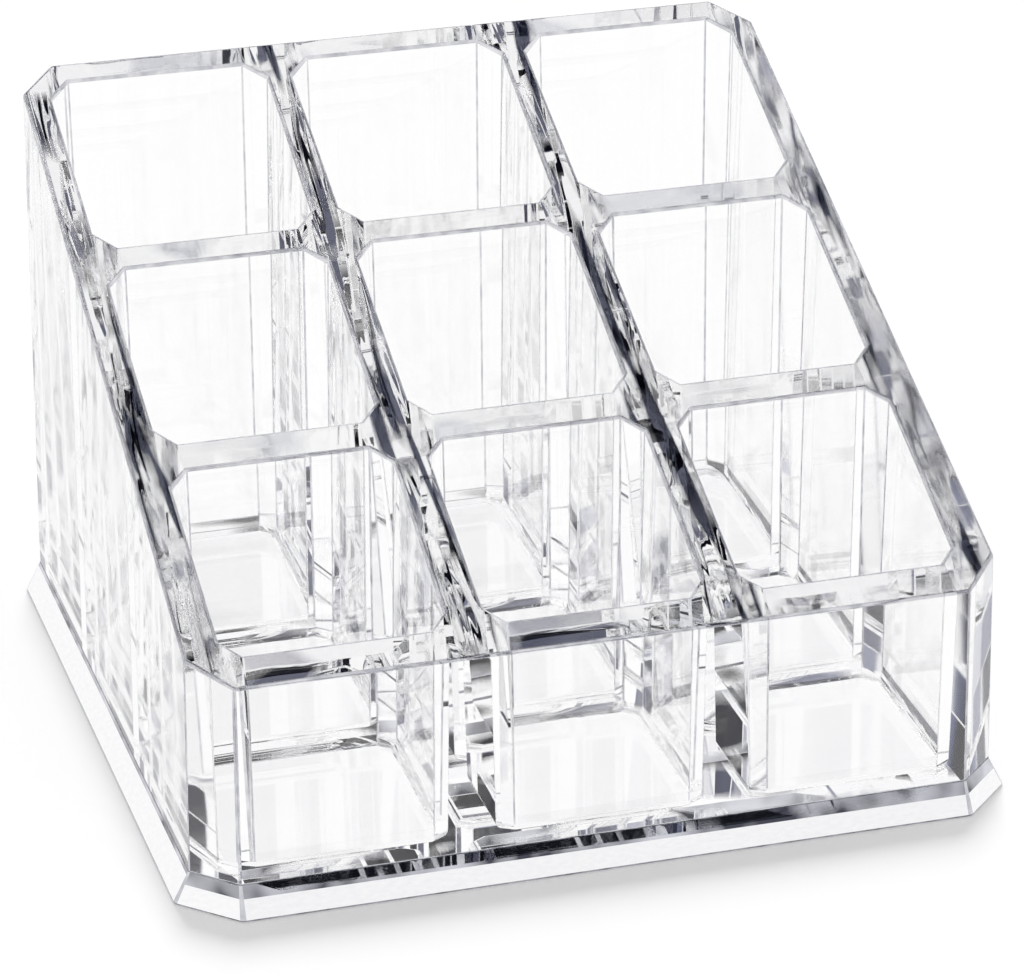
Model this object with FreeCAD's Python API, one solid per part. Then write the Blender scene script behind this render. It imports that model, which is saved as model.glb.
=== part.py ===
import FreeCAD, Part
import math
import os

# Clear organizer with a square grid of octagonal pockets, a sloped rim and a bevelled base plate.
# Millimetres, +Z up, +Y towards the high back, origin at the middle of the underside.

# Pockets, measured at their floor.
columns = 3
rows = 3
pocket_size = 22.6
pocket_corner = 1.7
pocket_draft = 1.15

# Walls, measured at their foot. Draft thins them towards the rim.
divider_foot = 5.2
wall_foot = 4.9
body_corner = 4.4
body_draft = 0.72

# Sloped rim: height of the cut over the front and the back edge of the foot.
rim_front = 25.6
rim_back = 63.7
rim_round = 0.4

# Base plate.
plate_thickness = 3.5
plate_flange = 1.8
plate_corner = 6.0
plate_edge = 0.12

# The pockets and the walls between and around them add up to the body's plan.
pocket_pitch = pocket_size + divider_foot
body_width = columns * pocket_pitch - divider_foot + 2.0 * wall_foot
body_depth = rows * pocket_pitch - divider_foot + 2.0 * wall_foot

# Share of an even inset by which the leg of a 45 degree corner shrinks.
corner_share = 2.0 - math.sqrt(2.0)


def octagon(half_x, half_y, leg, z, centre=(0.0, 0.0)):
    """Corners of a rectangle with 45 degree corners, counter-clockwise seen from above."""
    cx, cy = centre
    plan = [
        (half_x - leg, -half_y),
        (half_x, -half_y + leg),
        (half_x, half_y - leg),
        (half_x - leg, half_y),
        (-half_x + leg, half_y),
        (-half_x, half_y - leg),
        (-half_x, -half_y + leg),
        (-half_x + leg, -half_y),
    ]
    return [FreeCAD.Vector(cx + x, cy + y, z) for x, y in plan]


def face(points):
    return Part.Face(Part.makePolygon(points + points[:1]))


def prism(lower, upper):
    """Flat-sided solid between two outlines with the same number of corners."""
    faces = [face(lower[::-1]), face(upper)]
    for i in range(len(lower)):
        j = (i + 1) % len(lower)
        faces.append(face([lower[i], lower[j], upper[j], upper[i]]))
    return Part.makeSolid(Part.makeShell(faces))


def tapered(half_x, half_y, leg, z0, z1, level, slope, centre=(0.0, 0.0)):
    """Octagonal prism whose sides move outwards by slope per unit of height above level."""
    ends = []
    for z in (z0, z1):
        grow = slope * (z - level)
        ends.append(octagon(half_x + grow, half_y + grow, leg + corner_share * grow, z, centre))
    return prism(ends[0], ends[1])


# The rim plane rises from the front to the back edge of the foot.
rim_slope = (rim_back - rim_front) / body_depth
front_y = -body_depth / 2.0
stock_top = rim_back + rim_round + 5.0


def rim_height(y):
    return rim_front + (y - front_y) * rim_slope


def on_rim(point):
    return abs(point.z - rim_height(point.y)) < 1e-4


# Compartment body: drafted block, pockets right through it, then the sloping cut.
body = tapered(
    body_width / 2.0,
    body_depth / 2.0,
    body_corner,
    plate_thickness,
    stock_top,
    plate_thickness,
    -math.tan(math.radians(body_draft)),
)

reach = body_depth
wedge = face([
    FreeCAD.Vector(-body_width, -reach, rim_height(-reach)),
    FreeCAD.Vector(-body_width, reach, rim_height(reach)),
    FreeCAD.Vector(-body_width, reach, stock_top + reach),
    FreeCAD.Vector(-body_width, -reach, stock_top + reach),
]).extrude(FreeCAD.Vector(2.0 * body_width, 0, 0))

pockets = []
for column in range(columns):
    for row in range(rows):
        middle = (
            (column - (columns - 1) / 2.0) * pocket_pitch,
            (row - (rows - 1) / 2.0) * pocket_pitch,
        )
        pockets.append(tapered(
            pocket_size / 2.0,
            pocket_size / 2.0,
            pocket_corner,
            plate_thickness - 1.0,
            stock_top + 1.0,
            plate_thickness,
            math.tan(math.radians(pocket_draft)),
            middle,
        ))

body = body.cut(pockets).cut(wedge)
rim_edges = [e for e in body.Edges if all(on_rim(v.Point) for v in e.Vertexes)]
body = body.makeFillet(rim_round, rim_edges)

# Base plate: bevelled from the foot of the walls out to its lower edge.
plate = prism(
    octagon(
        body_width / 2.0 + plate_flange,
        body_depth / 2.0 + plate_flange,
        plate_corner,
        0.0,
    ),
    octagon(body_width / 2.0, body_depth / 2.0, body_corner, plate_thickness),
)
under_edges = [e for e in plate.Edges if all(abs(v.Z) < 1e-6 for v in e.Vertexes)]
plate = plate.makeFillet(plate_edge, under_edges)

os.makedirs("parts", exist_ok=True)
body.exportStep("parts/compartment_body.step")
plate.exportStep("parts/base_plate.step")
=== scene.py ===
# %% [markdown]
# # A clear nine-pocket organizer
# The object is a small holder for lipsticks and nail polish, moulded in clear plastic. It has two pieces: a block
# of nine octagonal pockets with one sloping rim, and the bevelled plate that closes the pockets.
# Clear plastic has no colour of its own to paint. What the eye sees is its flats, its rounded edges and the
# studio bent through them, so this lesson spends its care on true shapes, a fitting refractive index and a plain
# studio. The CAD model comes in first and gives the frame and the size that everything has to keep.

# %% Load the CAD frame
import bpy
import bmesh
import math
from mathutils import Matrix, Vector


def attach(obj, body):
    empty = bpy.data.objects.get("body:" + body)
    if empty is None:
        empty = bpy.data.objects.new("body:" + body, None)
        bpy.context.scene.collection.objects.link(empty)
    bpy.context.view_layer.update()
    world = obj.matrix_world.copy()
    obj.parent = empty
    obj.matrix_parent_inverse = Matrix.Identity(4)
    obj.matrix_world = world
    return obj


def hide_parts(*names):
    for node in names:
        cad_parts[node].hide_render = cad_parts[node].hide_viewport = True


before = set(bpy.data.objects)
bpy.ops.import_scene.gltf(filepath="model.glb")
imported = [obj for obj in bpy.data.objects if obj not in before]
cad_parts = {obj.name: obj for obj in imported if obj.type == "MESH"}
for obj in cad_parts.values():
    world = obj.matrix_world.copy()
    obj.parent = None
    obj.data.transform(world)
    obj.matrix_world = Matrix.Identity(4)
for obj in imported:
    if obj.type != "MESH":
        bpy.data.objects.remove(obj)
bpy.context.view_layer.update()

# %% [markdown]
# ## Sizes
# Blender works in metres and the mould was drawn in millimetres, so one constant turns one into the other.
# The sizes are those of the CAD model: pockets and walls are given at their foot, and draft, the slope that lets
# a moulding leave its mould, does the rest.

# %% Sizes in millimetres
MM = 0.001
GRID = 3
POCKET_SIZE, POCKET_CORNER, POCKET_DRAFT = 22.6, 1.7, 1.15
DIVIDER_FOOT, WALL_FOOT = 5.2, 4.9
BODY_CORNER, BODY_DRAFT = 4.4, 0.72
RIM_FRONT, RIM_BACK, RIM_ROUND = 25.6, 63.7, 0.45
PLATE_THICKNESS, PLATE_FLANGE, PLATE_CORNER = 3.5, 1.8, 6.0

POCKET_PITCH = POCKET_SIZE + DIVIDER_FOOT
BODY_HALF = (GRID * POCKET_PITCH - DIVIDER_FOOT) / 2.0 + WALL_FOOT
RIM_SLOPE = (RIM_BACK - RIM_FRONT) / (2.0 * BODY_HALF)
print("body plan:", 2.0 * BODY_HALF, "mm, rim slope:", round(math.degrees(math.atan(RIM_SLOPE)), 2), "degrees")

# %% [markdown]
# ## Columns round an octagon
# Every wall of the moulding follows a square with its corners cut at 45 degrees. A modifier could round the
# edges afterwards, but it also bends the flats beside them a little, and in clear plastic a bent flat shows at
# once. So the outline is drawn with its small corner radius from the start, as a ring of columns. Each column
# knows where it stands, how it leans when the outline grows by draft, and which way is out.

# %% Outline helper
CORNER_TURN = math.radians(45.0)
CORNER_STEPS = 4


def direction(angle):
    return Vector((math.cos(angle), math.sin(angle), 0.0))


def octagon_columns(half, leg, radius, centre=(0.0, 0.0)):
    """Columns round an octagon: (corner number, foot point, lean per mm of growth, outward normal)."""
    reach = 1.0 / math.cos(CORNER_TURN / 2.0)
    corners = [(half - leg, -half), (half, -half + leg), (half, half - leg), (half - leg, half)]
    corners += [(-x, -y) for x, y in corners]
    columns = []
    for number, (x, y) in enumerate(corners):
        start = math.radians(-90.0) + number * CORNER_TURN
        lean = direction(start + CORNER_TURN / 2.0) * reach
        middle = Vector((centre[0] + x, centre[1] + y, 0.0)) - lean * radius
        for step in range(CORNER_STEPS + 1):
            normal = direction(start + CORNER_TURN * step / CORNER_STEPS)
            columns.append((number, middle + normal * radius, lean, normal))
    return columns


print("columns in one outline:", len(octagon_columns(1.0, 0.2, 0.1)))

# %% [markdown]
# ## From columns to walls
# A wall rises along its columns, from a small rounding at the foot to a larger one at the rim. Three points give
# each rounding: where it leaves one face, the sharp corner that it replaces, and where it meets the next face.
# Weighted with the sine of half the corner, the curve through them is a true arc. Quads join neighbouring
# columns. The flats stay flat shaded and only the roundings are smooth. Faces go to material slots by what they
# are on the object, so that each kind can have its own finish.

# %% Wall helpers
ARC_STEPS = 4
FLAT_SLOT, EDGE_SLOT, BOND_SLOT, GROUND_SLOT, SEAM_SLOT, RIM_SLOT, SIDE_SLOT, BAND_SLOT, FLOOR_SLOT = range(9)


def rounding(corner, back, on, radius):
    """Points of an arc that replaces a sharp corner, between the ways back and on from that corner."""
    back, on = back.normalized(), on.normalized()
    half_angle = back.angle(on) / 2.0
    reach, weight = radius / math.tan(half_angle), math.sin(half_angle)
    points = []
    for step in range(ARC_STEPS + 1):
        t = step / ARC_STEPS
        leave, turn, meet = (1 - t) ** 2, 2 * t * (1 - t) * weight, t ** 2
        points.append(corner + (back * leave + on * meet) * (reach / (leave + turn + meet)))
    return points


def arc_segments(slot):
    """Slot and smooth shading of each segment of one rounding."""
    return [(slot, True)] * ARC_STEPS


def skin(mesh, numbers, profiles, segments, turned=False):
    """Quads between neighbouring profiles; returns the open loops at their start and end."""
    rows = [[mesh.verts.new(p * MM) for p in profile] for profile in profiles]
    count = len(rows)
    for i in range(count):
        j = (i + 1) % count
        for k, (slot, smooth) in enumerate(segments):
            quad = [rows[i][k], rows[j][k], rows[j][k + 1], rows[i][k + 1]]
            wall = mesh.faces.new(quad[::-1] if turned else quad)
            at_corner = numbers[i] == numbers[j]
            wall.smooth = smooth or at_corner
            wall.material_index = EDGE_SLOT if at_corner and not smooth else slot
    loops = []
    for end in (0, -1):
        loops.append([mesh.edges.get((rows[i][end], rows[(i + 1) % count][end])) for i in range(count)])
    return loops


def new_piece(name, mesh):
    data = bpy.data.meshes.new(name)
    mesh.to_mesh(data)
    mesh.free()
    piece = bpy.data.objects.new(name, data)
    bpy.context.scene.collection.objects.link(piece)
    print(name, "faces:", len(data.polygons))
    return piece


# %% [markdown]
# ## The compartment body
# The real body is one moulding: four outer walls and the dividers, open from the foot to the rim. Cutting nine
# drafted blocks out of a tenth with booleans would work, but the rim would then be one face with nine holes,
# cut up at random. Here the outer outline and the nine pockets are ten walls of columns, each ended where its own
# line meets the sloping rim plane. Filling between the ten upper loops gives the rim, and between the ten lower
# loops the foot. A small fillet runs round the foot of every pocket and draws the curved lines that frame the
# floors. The foot, the rim and the two outer side walls get slots of their own.

# %% Build the compartment body
FOOT_GAP = 0.01
FOOT_ROUND, POCKET_FOOT = 0.12, 0.9
OUTER_RADIUS, POCKET_RADIUS = 0.45, 0.3
SIDE_SHARE = 0.9
FOOT_LEVEL = PLATE_THICKNESS + FOOT_GAP


def fill(mesh, loops, facing, slot):
    """Flat triangles between closed loops of edges, all facing up or down."""
    filled = bmesh.ops.triangle_fill(mesh, edges=loops, use_beauty=True)
    for face in [part for part in filled["geom"] if isinstance(part, bmesh.types.BMFace)]:
        face.smooth, face.material_index = False, slot
        if face.normal.z * facing < 0.0:
            face.normal_flip()


def pocket_middles():
    """Middles of the pockets in plan."""
    places = [(number - (GRID - 1) / 2.0) * POCKET_PITCH for number in range(GRID)]
    return [(x, y) for x in places for y in places]


def drafted_wall(mesh, columns, slope, outer):
    """A wall from its rounded foot to the rim plane; outer walls have their plastic on the inside."""
    numbers, profiles = [], []
    for number, foot, lean, _ in columns:
        rise = lean * slope + Vector((0.0, 0.0, 1.0))
        foot = foot + lean * (slope * FOOT_GAP) + Vector((0.0, 0.0, FOOT_LEVEL))
        height = (RIM_FRONT + (foot.y + BODY_HALF) * RIM_SLOPE - foot.z) / (1.0 - rise.y * RIM_SLOPE)
        rim_point = foot + rise * height
        into = -lean if outer else lean
        along = Vector((into.x, into.y, into.y * RIM_SLOPE))
        if outer:
            points = rounding(foot, into, rise, FOOT_ROUND)
        else:
            points = rounding(foot, -into, rise, POCKET_FOOT)
        points += rounding(rim_point, -rise, along, RIM_ROUND)
        numbers.append(number)
        profiles.append(points)
    foot_slot = EDGE_SLOT if outer else FLAT_SLOT
    segments = arc_segments(foot_slot) + [(FLAT_SLOT, False)] + arc_segments(EDGE_SLOT)
    return skin(mesh, numbers, profiles, segments, turned=not outer)


shell = bmesh.new()
walls = [drafted_wall(shell, octagon_columns(BODY_HALF, BODY_CORNER, OUTER_RADIUS),
                      -math.tan(math.radians(BODY_DRAFT)), True)]
for middle in pocket_middles():
    walls.append(drafted_wall(shell, octagon_columns(POCKET_SIZE / 2.0, POCKET_CORNER, POCKET_RADIUS, middle),
                              math.tan(math.radians(POCKET_DRAFT)), False))
fill(shell, [side for wall in walls for side in wall[0]], -1.0, BOND_SLOT)
fill(shell, [side for wall in walls for side in wall[1]], 1.0, RIM_SLOT)
shell.normal_update()
for face in shell.faces:
    outside = abs(face.calc_center_median().x) > (BODY_HALF - WALL_FOOT / 2.0) * MM
    if face.material_index == FLAT_SLOT and outside and abs(face.normal.x) > SIDE_SHARE:
        face.material_index = SIDE_SLOT
compartments = new_piece("compartments", shell)

# %% [markdown]
# ## The base plate
# The plate closes the pockets from below and stands a little proud of the walls all round, with one bevel from
# the foot of the walls out to its lower edge. It is the same idea with two outlines, one at the underside and one
# at the top: a column of the plate runs between them, with a small rounding at both ends. The bevel is parted
# where its dark upper strip begins in the picture. The top is divided into the nine pocket floors and the face
# between them that meets the body, and the underside into a ring along its edge and the field inside.

# %% Build the base plate
PLATE_EDGE, PLATE_RADIUS = 0.16, 0.9
FRONT_BAND, SIDE_BAND = 0.62, 0.88
FOOT_RING, RING_CORNER = 5.9, 5.0


def flat_loop(mesh, feet, height):
    """A closed loop of edges through points in plan, at one height."""
    corners = [mesh.verts.new((foot + Vector((0.0, 0.0, height))) * MM) for foot in feet]
    return [mesh.edges.new((corners[i - 1], corners[i])) for i in range(len(corners))]


under = octagon_columns(BODY_HALF + PLATE_FLANGE, PLATE_CORNER, PLATE_RADIUS)
upper = octagon_columns(BODY_HALF, BODY_CORNER, OUTER_RADIUS)
profiles = []
for (_, low, _, normal), (_, high, _, _) in zip(under, upper):
    high = high + Vector((0.0, 0.0, PLATE_THICKNESS))
    points = rounding(low, -normal, high - low, PLATE_EDGE)
    points.append(low.lerp(high, SIDE_BAND if abs(normal.x) > SIDE_SHARE else FRONT_BAND))
    points += rounding(high, low - high, -normal, FOOT_ROUND)
    profiles.append(points)

slab = bmesh.new()
segments = arc_segments(SEAM_SLOT) + [(FLAT_SLOT, False), (BAND_SLOT, False)] + arc_segments(SEAM_SLOT)
underside, joint = skin(slab, [column[0] for column in under], profiles, segments)
floors = []
for middle in pocket_middles():
    outline = octagon_columns(POCKET_SIZE / 2.0, POCKET_CORNER, POCKET_RADIUS, middle)
    feet = [foot - lean.normalized() * POCKET_FOOT for _, foot, lean, _ in outline]
    floors.append(flat_loop(slab, feet, PLATE_THICKNESS))
fill(slab, joint + [side for floor in floors for side in floor], 1.0, BOND_SLOT)
for floor in floors:
    fill(slab, floor, 1.0, FLOOR_SLOT)
ring = octagon_columns(BODY_HALF + PLATE_FLANGE - FOOT_RING, RING_CORNER, OUTER_RADIUS)
field = flat_loop(slab, [column[1] for column in ring], 0.0)
fill(slab, underside + field, -1.0, GROUND_SLOT)
fill(slab, field, -1.0, FLAT_SLOT)
slab.normal_update()
plate = new_piece("bevelled_plate", slab)

# %% [markdown]
# ## Colours and nodes
# Colours are written as sRGB hex values, the way a colour card gives them, and one function turns them into the
# linear numbers that the renderer adds up. Another adds a node with its settings and its links in one line.

# %% Colour and node helpers
WHITE = "#ffffff"


def linear(code):
    """Linear RGBA of an sRGB hex colour."""
    parts = [int(code[i:i + 2], 16) / 255.0 for i in (1, 3, 5)]
    return [v / 12.92 if v <= 0.04045 else ((v + 0.055) / 1.055) ** 2.4 for v in parts] + [1.0]


def add(tree, kind, inputs=(), **settings):
    """A node with its settings; inputs maps sockets to values or to the outputs that feed them."""
    made = tree.nodes.new(kind)
    for name, value in settings.items():
        setattr(made, name, value)
    for socket, value in dict(inputs).items():
        if isinstance(value, bpy.types.NodeSocket):
            tree.links.new(value, made.inputs[socket])
        else:
            made.inputs[socket].default_value = value
    return made


def new_tree(block):
    block.use_nodes = True
    block.node_tree.nodes.clear()
    return block.node_tree


print("white in linear light:", [round(v, 3) for v in linear(WHITE)])

# %% [markdown]
# ## Clear polystyrene
# The plastic is taken to be general-purpose polystyrene, injection moulded against polished steel. It bends light
# more than acrylic does, with a refractive index of 1.59, so more rays are turned back inside, and the rims are
# drawn more fully. The surface is smooth, but plastic shrinks as it cools, so the flats are very slightly wavy,
# over some 6 mm. A bump of a micrometre or two gives those waves. The two outer side walls look softer than the
# front in the picture, so they get the same plastic with a little less polish.

# %% Clear polystyrene
POLYSTYRENE_IOR = 1.59
WAVE_SIZE, WAVE_HEIGHT = 6.0, 0.0015
POLISHED, LESS_POLISHED = 0.0, 0.05


def wavy_plastic(name, polish):
    made = bpy.data.materials.new(name)
    tree = new_tree(made)
    place = add(tree, "ShaderNodeTexCoord")
    waves = add(tree, "ShaderNodeTexNoise", {"Vector": place.outputs["Object"], "Scale": 1.0 / (WAVE_SIZE * MM),
                                             "Detail": 1.0})
    shrink = add(tree, "ShaderNodeBump", {"Height": waves.outputs[0], "Distance": WAVE_HEIGHT * MM,
                                          "Strength": 1.0})
    plastic = add(tree, "ShaderNodeBsdfPrincipled", {"Base Color": linear(WHITE), "Roughness": polish,
                                                     "IOR": POLYSTYRENE_IOR, "Transmission Weight": 1.0,
                                                     "Normal": shrink.outputs[0]})
    add(tree, "ShaderNodeOutputMaterial", {"Surface": plastic.outputs[0]})
    print("made", name)
    return made


clear = wavy_plastic("polystyrene_clear_moulded", POLISHED)
side = wavy_plastic("polystyrene_drawn_side", LESS_POLISHED)

# %% [markdown]
# ## The rim
# A moulded rim often has sink marks, because it shrinks last. Here they are shallow hollows on the bars that run
# across, and long flow lines on the rails that run up the slope; both are waves in one bump. The real rails carry
# long dark streaks, most likely images of a dark room bent by the plastic. Those images depend on a room that
# nobody can see now, so the deep parts of the waves carry a painted reflection of it in their colour, faint on
# the bars and dark on the rails. A triangle wave over the pocket pitch, which peaks in the middle of every rail,
# tells them apart.

# %% Sunken rim with painted reflection
SINK_SIZE, SINK_DEPTH = 11.0, 0.22
FLOW_WIDTH, FLOW_LENGTH, FLOW_DEPTH, FLOW_SWIRL = 2.0, 24.0, 0.05, 0.6
RAIL_EDGE, PAINTED_STREAK_EDGE = (10.2, 11.2), (0.37, 0.45)
# Painted reflection: colours for the deep parts of the rim waves, pale grey on the bars and near black on the
# rails.
BAR_PAINTED_REFLECTION, RAIL_PAINTED_REFLECTION = "#d2d4db", "#1c1e2a"
rim = bpy.data.materials.new("polystyrene_sunken_rim_painted_reflection")
tree = new_tree(rim)
place = add(tree, "ShaderNodeTexCoord")
sinks = add(tree, "ShaderNodeTexNoise", {"Vector": place.outputs["Object"], "Scale": 1.0 / (SINK_SIZE * MM),
                                         "Detail": 1.0})
flow_scale = [1.0 / (v * MM) for v in (FLOW_WIDTH, FLOW_LENGTH, FLOW_LENGTH)]
stretch = add(tree, "ShaderNodeMapping", {"Vector": place.outputs["Object"], "Scale": flow_scale})
flow = add(tree, "ShaderNodeTexNoise", {"Vector": stretch.outputs[0], "Scale": 1.0, "Detail": 1.0,
                                        "Distortion": FLOW_SWIRL})
spot = add(tree, "ShaderNodeSeparateXYZ", {0: place.outputs["Object"]})
swing = add(tree, "ShaderNodeMath", {0: spot.outputs["X"], 1: POCKET_PITCH / 2.0 * MM}, operation="PINGPONG")
rail = add(tree, "ShaderNodeMapRange", {0: swing.outputs[0], 1: RAIL_EDGE[0] * MM, 2: RAIL_EDGE[1] * MM})
hollow = add(tree, "ShaderNodeMath", {0: sinks.outputs[0], 1: SINK_DEPTH * MM}, operation="MULTIPLY")
line = add(tree, "ShaderNodeMath", {0: flow.outputs[0], 1: FLOW_DEPTH * MM}, operation="MULTIPLY")
height = add(tree, "ShaderNodeMix", {0: rail.outputs[0], 2: hollow.outputs[0], 3: line.outputs[0]})
shrink = add(tree, "ShaderNodeBump", {"Height": height.outputs[0], "Distance": 1.0, "Strength": 1.0})
marks = add(tree, "ShaderNodeMix", {0: rail.outputs[0], 2: sinks.outputs[0], 3: flow.outputs[0]})
depth = add(tree, "ShaderNodeMapRange", {0: marks.outputs[0], 1: PAINTED_STREAK_EDGE[0], 2: PAINTED_STREAK_EDGE[1]})
# Painted reflection of the dark room, laid into the base colour where the waves are deep.
dark = add(tree, "ShaderNodeMix", {0: rail.outputs[0], 6: linear(BAR_PAINTED_REFLECTION), 7: linear(RAIL_PAINTED_REFLECTION)},
           data_type="RGBA")
streaks = add(tree, "ShaderNodeMix", {0: depth.outputs[0], 6: dark.outputs[2], 7: linear(WHITE)}, data_type="RGBA")
plastic = add(tree, "ShaderNodeBsdfPrincipled", {"Base Color": streaks.outputs[2], "Roughness": POLISHED,
                                                 "IOR": POLYSTYRENE_IOR, "Transmission Weight": 1.0,
                                                 "Normal": shrink.outputs[0]})
add(tree, "ShaderNodeOutputMaterial", {"Surface": plastic.outputs[0]})
print("made", rim.name)

# %% [markdown]
# ## Edges, seam and bevel strip
# Thin grey lines run along the edges. Here they are painted shade: the faces of the rounded edges are coloured
# grey. The seam round the plate and the plate's lower edge get a darker painted shade, and the upper strip of the
# bevel, where the eye looks in under the walls, a painted shade marbled dark and pale. All three are fitted to the
# picture in the same way, with two tones mixed by a noise, so one function makes them.

# %% Edges, seam and strip in painted shade
TONE_SPAN = (0.35, 0.65)


def edge_plastic(name, dark, pale, grain_size, roughness):
    made = bpy.data.materials.new(name)
    tree = new_tree(made)
    place = add(tree, "ShaderNodeTexCoord")
    grain = add(tree, "ShaderNodeTexNoise", {"Vector": place.outputs["Object"], "Scale": 1.0 / (grain_size * MM)})
    tone = add(tree, "ShaderNodeValToRGB", {"Fac": grain.outputs[0]})
    for stop, position, code in zip(tone.color_ramp.elements, TONE_SPAN, (dark, pale)):
        stop.position, stop.color = position, linear(code)
    plastic = add(tree, "ShaderNodeBsdfPrincipled", {"Base Color": tone.outputs[0], "Roughness": roughness,
                                                     "IOR": POLYSTYRENE_IOR, "Transmission Weight": 1.0})
    add(tree, "ShaderNodeOutputMaterial", {"Surface": plastic.outputs[0]})
    print("made", name)
    return made


# Painted shade: grey along all rounded edges.
edge = edge_plastic("polystyrene_edge_painted_shade", "#8d8f99", "#c9cad0", grain_size=2.0, roughness=0.08)
# Painted shade: near black along the plate's lower edge and where the plate meets the foot of the walls.
seam = edge_plastic("polystyrene_seam_painted_shade", "#14151c", "#5a5c66", grain_size=2.0, roughness=0.15)
# Painted shade: dark and pale marbling on the upper strip of the bevel.
band = edge_plastic("polystyrene_bevel_band_painted_shade", "#0e0f16", "#b4b6c2", grain_size=6.0, roughness=0.03)

# %% [markdown]
# ## The bond and the foot ring
# How the body is joined to the plate cannot be seen. It is taken to be bonded with solvent in patches. Where it is
# bonded, light crosses as if there were no surface, and a shader lets rays straight through. Elsewhere, and under
# the two side walls, a film of air stays and bends light as usual. A noise over some 12 mm draws the patches.
# The ring under the edge of the plate is taken to touch the white table all over, so the table's light passes
# straight up into the plastic. That turns the lower part of the bevel plain white, as in the picture.

# %% Bond and foot ring
PATCH_SIZE, PATCH_EDGE = 12.0, (0.5, 0.62)
LOOSE_FROM = BODY_HALF - WALL_FOOT
GRIT_SIZE = 1.0
bonded = bpy.data.materials.new("polystyrene_solvent_bond")
tree = new_tree(bonded)
place = add(tree, "ShaderNodeTexCoord")
spread = add(tree, "ShaderNodeTexNoise", {"Vector": place.outputs["Object"], "Scale": 1.0 / (PATCH_SIZE * MM),
                                          "Detail": 1.0})
patch = add(tree, "ShaderNodeMapRange", {0: spread.outputs[0], 1: PATCH_EDGE[0], 2: PATCH_EDGE[1]})
spot = add(tree, "ShaderNodeSeparateXYZ", {0: place.outputs["Object"]})
across = add(tree, "ShaderNodeMath", {0: spot.outputs["X"]}, operation="ABSOLUTE")
at_side = add(tree, "ShaderNodeMath", {0: across.outputs[0], 1: LOOSE_FROM * MM}, operation="GREATER_THAN")
loose = add(tree, "ShaderNodeMath", {0: patch.outputs[0], 1: at_side.outputs[0]}, operation="MAXIMUM")
through = add(tree, "ShaderNodeBsdfTransparent", {"Color": linear(WHITE)})
plastic = add(tree, "ShaderNodeBsdfPrincipled", {"Base Color": linear(WHITE), "Roughness": POLISHED,
                                                 "IOR": POLYSTYRENE_IOR, "Transmission Weight": 1.0})
both = add(tree, "ShaderNodeMixShader", {0: loose.outputs[0], 1: through.outputs[0], 2: plastic.outputs[0]})
add(tree, "ShaderNodeOutputMaterial", {"Surface": both.outputs[0]})

ground = bpy.data.materials.new("polystyrene_ground_foot")
tree = new_tree(ground)
place = add(tree, "ShaderNodeTexCoord")
grit = add(tree, "ShaderNodeTexNoise", {"Vector": place.outputs["Object"], "Scale": 1.0 / (GRIT_SIZE * MM)})
dust = add(tree, "ShaderNodeMix", {0: grit.outputs[0], 6: linear("#f1f1f4"), 7: linear(WHITE)}, data_type="RGBA")
touch = add(tree, "ShaderNodeBsdfTransparent", {"Color": dust.outputs[2]})
add(tree, "ShaderNodeOutputMaterial", {"Surface": touch.outputs[0]})
print("made", bonded.name, "and", ground.name)

# %% [markdown]
# ## The pocket floors
# In the picture the floors are plain white, with hardly any mirror image of the walls behind them. A fine texture
# in the mould could do that, but the picture is too coarse to show one. Seen from above the floors are mostly pure
# refraction, which keeps the table clear through the floor and takes most of the mirror image away; from inside
# the plate they are as smooth as the rest.

# %% Pocket floors
STILL_SHARE = 0.85
still = bpy.data.materials.new("polystyrene_textured_floor")
tree = new_tree(still)
place = add(tree, "ShaderNodeTexCoord")
texture = add(tree, "ShaderNodeTexNoise", {"Vector": place.outputs["Object"], "Scale": 1.0 / (WAVE_SIZE * MM)})
pale = add(tree, "ShaderNodeMix", {0: texture.outputs[0], 6: linear("#fafafc"), 7: linear(WHITE)},
           data_type="RGBA")
plain = add(tree, "ShaderNodeBsdfRefraction", {"Color": pale.outputs[2], "Roughness": POLISHED,
                                               "IOR": POLYSTYRENE_IOR})
plastic = add(tree, "ShaderNodeBsdfPrincipled", {"Base Color": pale.outputs[2], "Roughness": POLISHED,
                                                 "IOR": POLYSTYRENE_IOR, "Transmission Weight": 1.0})
surface = add(tree, "ShaderNodeNewGeometry")
from_above = add(tree, "ShaderNodeMath", {0: surface.outputs["Backfacing"], 1: -STILL_SHARE, 2: STILL_SHARE},
                 operation="MULTIPLY_ADD")
both = add(tree, "ShaderNodeMixShader", {0: from_above.outputs[0], 1: plastic.outputs[0], 2: plain.outputs[0]})
add(tree, "ShaderNodeOutputMaterial", {"Surface": both.outputs[0]})
print("made", still.name)

# %% [markdown]
# ## Put the pieces on the frame
# Both pieces stand for a CAD node and move with the one body that there is. Their finishes are listed in the order
# of the slots. Clear walls let nearly all the light of a lamp through, while a path tracer takes them for a full
# obstacle. So the walls take no part in shadows, and the plate, whose bevels do turn the light away, casts the
# soft line of shade on the table.

# %% Finish and placing
for piece, node in ((compartments, "compartment_body"), (plate, "base_plate")):
    for finish in (clear, edge, bonded, ground, seam, rim, side, band, still):
        piece.data.materials.append(finish)
    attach(piece, "root")
    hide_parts(node)
compartments.visible_shadow = False
print("placed", compartments.name, "and", plate.name)

# %% [markdown]
# ## The table
# A plain white table fills the background. To the camera it is a matt white that keeps the shade of the plate,
# lifted a little by a glow of its own. Through the plastic, and mirrored in it, it is a plain white card, because
# that is the background a clear object needs to show its flats white.

# %% Table
TABLE_SIZE, TABLE_DROP, TABLE_GLOW = 6.0, 0.02, 0.3
top = bmesh.new()
bmesh.ops.create_grid(top, x_segments=1, y_segments=1, size=TABLE_SIZE)
table_data = bpy.data.meshes.new("table")
top.to_mesh(table_data)
top.free()
table = bpy.data.objects.new("table", table_data)
table.location.z = -TABLE_DROP * MM
bpy.context.scene.collection.objects.link(table)

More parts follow.
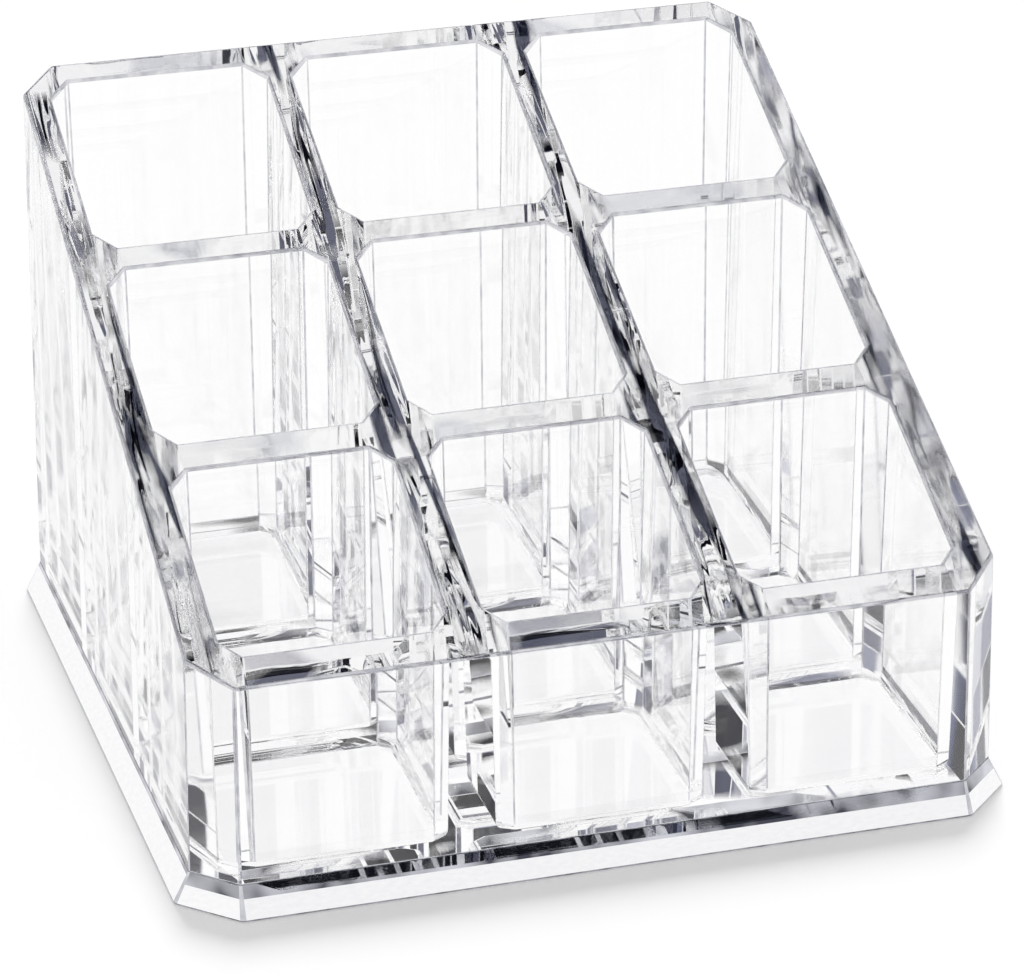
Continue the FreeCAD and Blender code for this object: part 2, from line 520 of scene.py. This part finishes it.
card = bpy.data.materials.new("white_table_card")
tree = new_tree(card)
path = add(tree, "ShaderNodeLightPath")
matt = add(tree, "ShaderNodeBsdfDiffuse", {"Color": linear("#f4f4f5")})
lift = add(tree, "ShaderNodeEmission", {"Strength": TABLE_GLOW})
seen = add(tree, "ShaderNodeAddShader", {0: matt.outputs[0], 1: lift.outputs[0]})
white = add(tree, "ShaderNodeEmission", {"Color": linear(WHITE), "Strength": 1.0})
bent = add(tree, "ShaderNodeMath", {0: path.outputs["Is Glossy Ray"], 1: path.outputs["Is Transmission Ray"]},
           operation="MAXIMUM")
both = add(tree, "ShaderNodeMixShader", {0: bent.outputs[0], 1: seen.outputs[0], 2: white.outputs[0]})
add(tree, "ShaderNodeOutputMaterial", {"Surface": both.outputs[0]})
table_data.materials.append(card)
print("table", 2.0 * TABLE_SIZE, "m across")

# %% [markdown]
# ## The studio
# A clear object is lit by what stands round it. Here that is a white tent wall up to about a third of the way to
# the zenith, open to a dark room above, with a dark gap on the camera's side and soft boxes left and right. The
# wall is lower at the back, which brings the dark bands into the foot of the walls. Flats and floors show the
# white wall and table; rims and rounded edges bend the eye up into the dark room and turn dark. The camera itself
# sees white all round, and matt surfaces get one even level of light.

# %% Studio
WALL_TOP = [math.sin(math.radians(angle)) for angle in (31.0, 39.0)]
GAP_SIDE = (0.55, 0.72)
BACK_SIDE, BACK_DROP = (0.5, 0.8), 0.25
BOX_TOP = [math.sin(math.radians(angle)) for angle in (52.0, 62.0)]
BOX_SIDE = (0.30, 0.55)
GAP_LIGHT, BOX_LIGHT, AMBIENT = 0.1, 1.0, 0.42
ROOM_DARK, ROOM_DUSK, DUSK_PLACE = "#0c0c14", "#7d819e", 0.25

studio = bpy.data.worlds.new("studio")
bpy.context.scene.world = studio
tree = new_tree(studio)
path = add(tree, "ShaderNodeLightPath")
place = add(tree, "ShaderNodeTexCoord")
way = add(tree, "ShaderNodeSeparateXYZ", {0: place.outputs["Generated"]})
aside = add(tree, "ShaderNodeMath", {0: way.outputs["X"]}, operation="ABSOLUTE")
towards = add(tree, "ShaderNodeMath", {0: way.outputs["Y"], 1: -1.0}, operation="MULTIPLY")


def fade(value, span, start, end):
    """From start to end while value crosses the span."""
    return add(tree, "ShaderNodeMapRange", {0: value, 1: span[0], 2: span[1], 3: start, 4: end},
               interpolation_type="SMOOTHSTEP").outputs[0]


drop = fade(way.outputs["Y"], BACK_SIDE, 0.0, BACK_DROP)
above = add(tree, "ShaderNodeMath", {0: way.outputs["Z"], 1: drop}, operation="ADD")
wall = fade(above.outputs[0], WALL_TOP, 1.0, 0.0)
gap = fade(towards.outputs[0], GAP_SIDE, 1.0, GAP_LIGHT)
tent = add(tree, "ShaderNodeMath", {0: wall, 1: gap}, operation="MULTIPLY")
box_height = fade(way.outputs["Z"], BOX_TOP, BOX_LIGHT, 0.0)
box_side = fade(aside.outputs[0], BOX_SIDE, 0.0, 1.0)
boxes = add(tree, "ShaderNodeMath", {0: box_height, 1: box_side}, operation="MULTIPLY")
room = add(tree, "ShaderNodeMath", {0: tent.outputs[0], 1: boxes.outputs[0]}, operation="MAXIMUM")
tint = add(tree, "ShaderNodeValToRGB", {"Fac": room.outputs[0]})
tint.color_ramp.elements[0].color, tint.color_ramp.elements[1].color = linear(ROOM_DARK), linear(WHITE)
tint.color_ramp.elements.new(DUSK_PLACE).color = linear(ROOM_DUSK)
matt = add(tree, "ShaderNodeMix", {0: path.outputs["Is Diffuse Ray"], 6: tint.outputs[0],
                                   7: (AMBIENT, AMBIENT, AMBIENT, 1.0)}, data_type="RGBA")
level = add(tree, "ShaderNodeMix", {0: path.outputs["Is Camera Ray"], 6: matt.outputs[2], 7: linear(WHITE)},
            data_type="RGBA")
glow = add(tree, "ShaderNodeBackground", {"Color": level.outputs[2], "Strength": 1.0})
add(tree, "ShaderNodeOutputWorld", {"Surface": glow.outputs[0]})
print("studio ready")

# %% [markdown]
# ## One soft lamp
# A single large lamp behind the object gives the matt table its direction of light, and with it the shade along
# the front and left of the plate. A distant lamp with a wide angle lights the whole table evenly and still has a
# soft edge to its shade. The plastic does not mirror it, because the studio already is what the plastic shows.

# %% Lamp
LAMP_STRENGTH, LAMP_SPREAD = 3.0, math.radians(24.0)
LAMP_SIDE, LAMP_HEIGHT = math.radians(72.0), math.radians(24.0)
soft_lamp = bpy.data.lights.new("soft_lamp", "SUN")
soft_lamp.energy, soft_lamp.angle = LAMP_STRENGTH, LAMP_SPREAD
lamp = bpy.data.objects.new("soft_lamp", soft_lamp)
lamp.location = Vector((math.cos(LAMP_HEIGHT) * math.cos(LAMP_SIDE), math.cos(LAMP_HEIGHT) * math.sin(LAMP_SIDE),
                        math.sin(LAMP_HEIGHT)))
lamp.rotation_mode = "QUATERNION"
lamp.rotation_quaternion = lamp.location.to_track_quat("Z", "Y")
lamp.visible_glossy = False
lamp.visible_transmission = False
bpy.context.scene.collection.objects.link(lamp)
print("lamp towards", [round(v, 3) for v in lamp.location])

# %% [markdown]
# ## The camera
# The viewing angle comes from the picture: a long lens, 24 degrees above the table, from the left of the front.
# The focal length was found in pixels of the picture and is turned into millimetres on a 36 mm sensor.

# %% Camera
IMAGE_WIDTH, FOCAL_PIXELS, SENSOR = 1024.0, 4733.1, 36.0
TURN, RISE, ROLL = math.radians(-16.15), math.radians(24.012), math.radians(-0.374)
TARGET, DISTANCE = Vector((2.32, 0.0, 23.77)), 524.65

lens = bpy.data.cameras.new("camera")
lens.sensor_width, lens.sensor_fit = SENSOR, "HORIZONTAL"
lens.lens = FOCAL_PIXELS / IMAGE_WIDTH * SENSOR
lens.clip_start, lens.clip_end = 0.01, 100.0
back = Vector((math.sin(TURN) * math.cos(RISE), -math.cos(TURN) * math.cos(RISE), math.sin(RISE)))
right = (-back).cross(Vector((0.0, 0.0, 1.0))).normalized()
up = right.cross(-back)
axes = Matrix((right * math.cos(ROLL) + up * math.sin(ROLL), up * math.cos(ROLL) - right * math.sin(ROLL), back))
camera = bpy.data.objects.new("camera", lens)
camera.matrix_world = Matrix.Translation((TARGET + back * DISTANCE) * MM) @ axes.transposed().to_4x4()
bpy.context.scene.collection.objects.link(camera)
bpy.context.scene.camera = camera
print("lens:", round(lens.lens, 2), "mm")

# %% [markdown]
# ## Paths through the plastic
# A ray crosses a dozen walls and turns back many times inside a rim, so it needs more bounces than the default.
# The plain Standard view keeps white at white, as in the picture.

# %% Render settings
cycles = bpy.context.scene.cycles
cycles.max_bounces = 48
cycles.glossy_bounces = 32
cycles.transmission_bounces = 48
cycles.transparent_max_bounces = 48
bpy.context.scene.view_settings.view_transform = "Standard"
print("bounces:", cycles.max_bounces)

# %% [markdown]
# ## Bring the scene up to date
# The visual pieces have to stay in the CAD model's box; here the scene is only brought up to date.

# %% Update the scene
bpy.context.view_layer.update()
